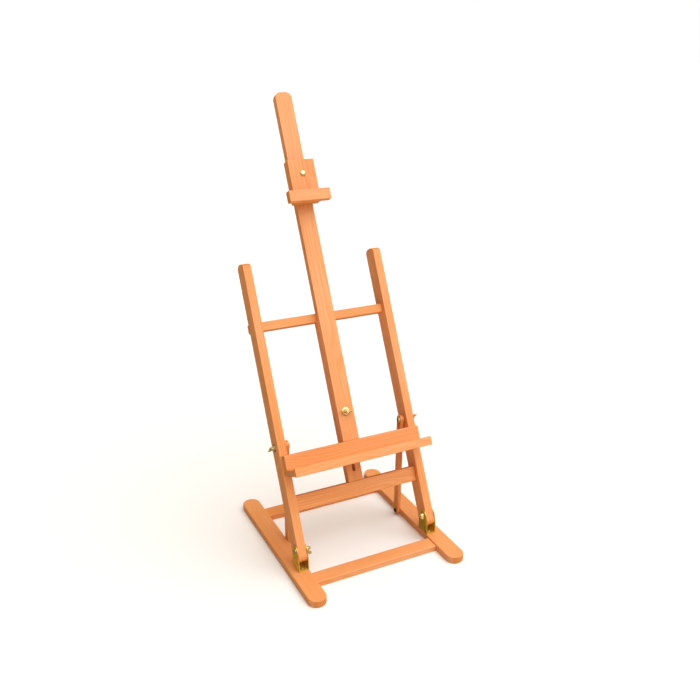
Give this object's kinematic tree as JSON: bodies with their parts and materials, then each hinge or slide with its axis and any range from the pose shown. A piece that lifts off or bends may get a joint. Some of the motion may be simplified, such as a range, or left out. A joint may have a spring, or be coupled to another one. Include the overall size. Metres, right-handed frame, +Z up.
{
  "type": "tabletop artist easel",
  "caption": "Wooden tabletop easel: flat H-shaped base, leaning frame on brass hinge brackets with slotted struts, sliding tray, sliding mast and canvas clamp.",
  "frame": {"origin": "middle of the footprint on the table: the centre of the underside of the bounding box", "axes": "+Z up from the table; -Y towards the painter, so the mast leans back towards +Y; +X to the right as the painter sees it"},
  "size_m": [0.384, 0.5744, 0.9892],
  "materials": {
    "beech": "satin varnish",
    "brass": "polished",
    "dark_screw": "bronzed"
  },
  "bodies": {
    "base": {"runner_left": "beech", "runner_right": "beech", "base_bar_front": "beech", "base_bar_rear": "beech", "bracket_left": "brass", "bracket_right": "brass", "bracket_screw_left_1": "brass", "bracket_screw_left_2": "brass", "bracket_screw_right_1": "brass", "bracket_screw_right_2": "brass", "pivot_bolt_left": "brass", "pivot_bolt_right": "brass", "strut_screw_left": "dark_screw", "strut_screw_right": "dark_screw"},
    "frame": {"upright_left": "beech", "upright_right": "beech", "lower_rail": "beech", "centre_board": "beech", "top_bar": "beech", "top_bar_screw_left": "brass", "top_bar_screw_right": "brass", "strut_bolt_left": "brass", "strut_bolt_right": "brass", "strut_spacer_left": "brass", "strut_spacer_right": "brass", "strut_washer_left": "brass", "strut_washer_right": "brass"},
    "strut_left": {"strut_left": "beech"},
    "strut_right": {"strut_right": "beech"},
    "mast": {"mast": "beech", "mast_bolt": "brass", "mast_washer_front": "brass", "mast_washer_rear": "brass", "guide_bolt": "brass", "guide_washer": "brass"},
    "tray": {"tray_back": "beech", "tray_shelf": "beech", "tray_lip": "beech", "tray_spacer": "beech", "tray_stud": "brass", "tray_washer": "brass"},
    "clamp": {"clamp_block": "beech", "clamp_lip": "beech", "clamp_bolt": "brass", "clamp_washer": "brass"},
    "pivot_nut_left": {"pivot_nut_left": "brass"},
    "pivot_nut_right": {"pivot_nut_right": "brass"},
    "strut_nut_left": {"strut_nut_left": "brass"},
    "strut_nut_right": {"strut_nut_right": "brass"},
    "mast_nut": {"mast_nut": "brass"},
    "tray_nut": {"tray_nut": "brass"},
    "clamp_nut": {"clamp_nut": "brass"}
  },
  "joints": [
    {"name": "frame_tilt", "type": "hinge", "parent": "base", "child": "frame", "pos_m": [0, -0.16223, 0.0605], "axis": [-1, 0, 0], "range_deg": [0, 15]},
    {"name": "strut_left_swing", "type": "hinge", "parent": "base", "child": "strut_left", "pos_m": [-0.145, -0.04773, 0.0115], "axis": [-1, 0, 0], "range_deg": [0, 12.8]},
    {"name": "strut_right_swing", "type": "hinge", "parent": "base", "child": "strut_right", "pos_m": [0.145, -0.04773, 0.0115], "axis": [-1, 0, 0], "range_deg": [0, 12.8]},
    {"name": "mast_slide", "type": "slide", "parent": "frame", "child": "mast", "axis": [0, 0.4384, 0.8988], "range_m": [0, 0.17]},
    {"name": "tray_slide", "type": "slide", "parent": "frame", "child": "tray", "axis": [0, 0.4384, 0.8988], "range_m": [-0.045, 0]},
    {"name": "clamp_slide", "type": "slide", "parent": "mast", "child": "clamp", "axis": [0, 0.4384, 0.8988], "range_m": [-0.055, 0.023]},
    {"name": "pivot_nut_left_turn", "type": "hinge", "parent": "base", "child": "pivot_nut_left", "pos_m": [-0.145, -0.16223, 0.0605], "axis": [1, 0, 0], "continuous": true},
    {"name": "pivot_nut_right_turn", "type": "hinge", "parent": "base", "child": "pivot_nut_right", "pos_m": [0.145, -0.16223, 0.0605], "axis": [-1, 0, 0], "continuous": true},
    {"name": "strut_nut_left_turn", "type": "hinge", "parent": "frame", "child": "strut_nut_left", "pos_m": [-0.178, -0.05313, 0.26227], "axis": [-1, 0, 0], "continuous": true},
    {"name": "strut_nut_right_turn", "type": "hinge", "parent": "frame", "child": "strut_nut_right", "pos_m": [0.178, -0.05313, 0.26227], "axis": [1, 0, 0], "continuous": true},
    {"name": "mast_nut_turn", "type": "hinge", "parent": "mast", "child": "mast_nut", "pos_m": [0, -0.0621, 0.31916], "axis": [0, -0.8988, 0.4384], "continuous": true},
    {"name": "tray_nut_turn", "type": "hinge", "parent": "tray", "child": "tray_nut", "pos_m": [0, -0.05697, 0.22019], "axis": [0, 0.8988, -0.4384], "continuous": true},
    {"name": "clamp_nut_turn", "type": "hinge", "parent": "clamp", "child": "clamp_nut", "pos_m": [0, 0.205, 0.79836], "axis": [0, 0.8988, -0.4384], "continuous": true}
  ],
  "couplings": [
    {"joint": "strut_left_swing", "follows": "frame_tilt", "ratio": 0.83},
    {"joint": "strut_right_swing", "follows": "frame_tilt", "ratio": 0.83}
  ]
}
